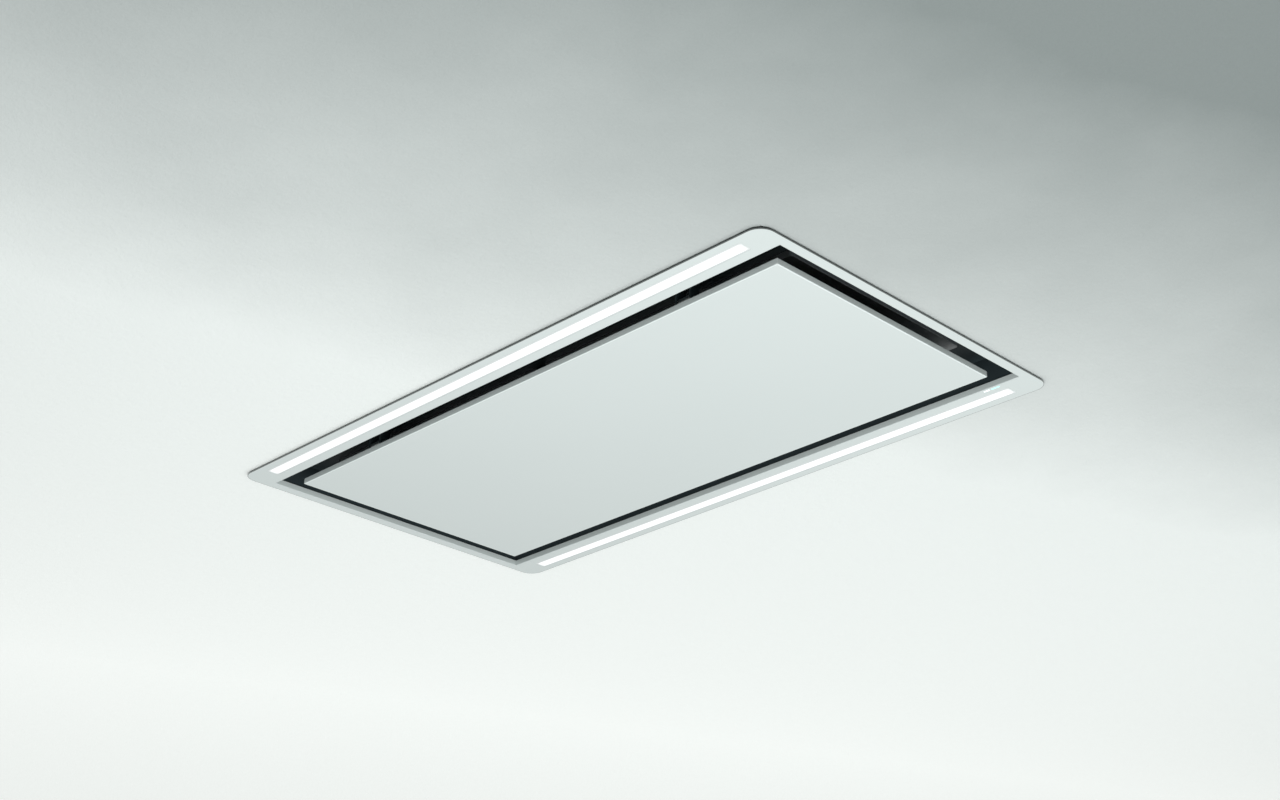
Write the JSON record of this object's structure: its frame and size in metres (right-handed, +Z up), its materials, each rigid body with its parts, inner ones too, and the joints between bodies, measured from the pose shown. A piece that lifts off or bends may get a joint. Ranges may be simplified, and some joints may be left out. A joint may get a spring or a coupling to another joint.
{
  "type": "ceiling range hood",
  "caption": "Recessed ceiling range hood: white frame with two light strips round a hinged suction panel, filters and flat blower above.",
  "frame": {"origin": "centre of the ceiling cut-out, on the visible face of the ceiling", "axes": "+X along the length towards the cable gland, +Y towards the front, where the catches and the signal lights are, +Z up into the ceiling void"},
  "size_m": [1.112, 0.565, 0.1785],
  "materials": {
    "white_paint": "fine satin powder coat",
    "galvanised": "hot-dip galvanised sheet, dull spangle",
    "black_paint": "matt black powder coat",
    "foam": "closed-cell foam strip",
    "filter_aluminium": "brushed, pressed sheet",
    "mesh_aluminium": "expanded layers",
    "led_aluminium": "natural extrusion",
    "opal": "opal diffuser",
    "signal_white": "clear light guide",
    "signal_green": "tinted light guide",
    "circuit": "solder mask",
    "black_plastic": "fine grain moulding",
    "grey_plastic": "fine grain moulding",
    "light_plastic": "smooth moulding",
    "rubber": "matt",
    "zinc_steel": "zinc plated",
    "motor_aluminium": "die cast",
    "magnet": "nickel plated"
  },
  "bodies": {
    "casing": {"flange_frame": "white_paint", "ceiling_gasket": "foam", "side_wall_front": "galvanised", "side_wall_back": "galvanised", "end_wall_left": "galvanised", "end_wall_right": "galvanised", "top_cover": "galvanised", "service_hatch": "galvanised", "hanger_rail_left": "galvanised", "hanger_rail_right": "galvanised", "casing_screws": "zinc_steel", "mounting_screws": "zinc_steel", "intake_deck": "black_paint", "recess_walls": "black_paint", "filter_frame_left": "filter_aluminium", "filter_frame_right": "filter_aluminium", "filter_mesh_left": "mesh_aluminium", "filter_mesh_right": "mesh_aluminium", "hinge_bracket_left": "black_paint", "hinge_bracket_right": "black_paint", "hinge_pins": "zinc_steel", "catch_brackets": "black_paint", "catch_magnets": "magnet", "led_profile_front": "led_aluminium", "led_profile_back": "led_aluminium", "led_board_front": "circuit", "led_board_back": "circuit", "led_diffuser_front": "opal", "led_diffuser_back": "opal", "status_lens": "signal_white", "display_lens": "signal_green", "receiver_board": "circuit", "scroll_shell": "black_plastic", "scroll_base": "black_plastic", "inlet_ring": "grey_plastic", "motor_housing": "motor_aluminium", "motor_bearings": "zinc_steel", "rubber_mounts": "rubber", "blower_bolts": "zinc_steel", "outlet_duct": "galvanised", "outlet_adapter": "black_plastic", "damper_pin": "zinc_steel", "control_box": "grey_plastic", "control_board": "circuit", "terminal_block": "light_plastic", "led_driver": "light_plastic", "cable_gland": "black_plastic", "gland_nut": "black_plastic"},
    "panel": {"suction_panel": "white_paint", "panel_backing": "galvanised", "hinge_arm_left": "zinc_steel", "hinge_arm_right": "zinc_steel", "striker_plates": "zinc_steel"},
    "fan": {"impeller": "grey_plastic", "motor_shaft": "zinc_steel", "shaft_nut": "zinc_steel"},
    "flap_front": {"damper_flap_front": "grey_plastic"},
    "flap_back": {"damper_flap_back": "grey_plastic"},
    "latch_left": {"filter_latch_left": "black_plastic"},
    "latch_right": {"filter_latch_right": "black_plastic"}
  },
  "joints": [
    {"name": "panel_hinge", "type": "hinge", "parent": "casing", "child": "panel", "pos_m": [0, -0.193, 0.012], "axis": [-1, 0, 0], "range_deg": [0, 90]},
    {"name": "fan_spin", "type": "hinge", "parent": "casing", "child": "fan", "pos_m": [-0.1, -0.01, 0.1], "axis": [0, 0, 1], "continuous": true},
    {"name": "damper_front", "type": "hinge", "parent": "casing", "child": "flap_front", "pos_m": [-0.556, 0.15782, 0.09], "axis": [0, 0, 1], "range_deg": [0, 80], "stiffness_Nm_per_rad": 0.02, "springref_deg": -17.19},
    {"name": "damper_back", "type": "hinge", "parent": "casing", "child": "flap_back", "pos_m": [-0.556, 0.15782, 0.09], "axis": [0, 0, 1], "range_deg": [-80, 0], "stiffness_Nm_per_rad": 0.02, "springref_deg": 17.19},
    {"name": "filter_latch_left_slide", "type": "slide", "parent": "casing", "child": "latch_left", "axis": [0, -1, 0], "range_m": [0, 0.007], "stiffness_N_per_m": 200, "springref_m": -0.004},
    {"name": "filter_latch_right_slide", "type": "slide", "parent": "casing", "child": "latch_right", "axis": [0, -1, 0], "range_m": [0, 0.007], "stiffness_N_per_m": 200, "springref_m": -0.004}
  ],
  "couplings": [
    {"joint": "damper_back", "follows": "damper_front", "ratio": -1}
  ]
}
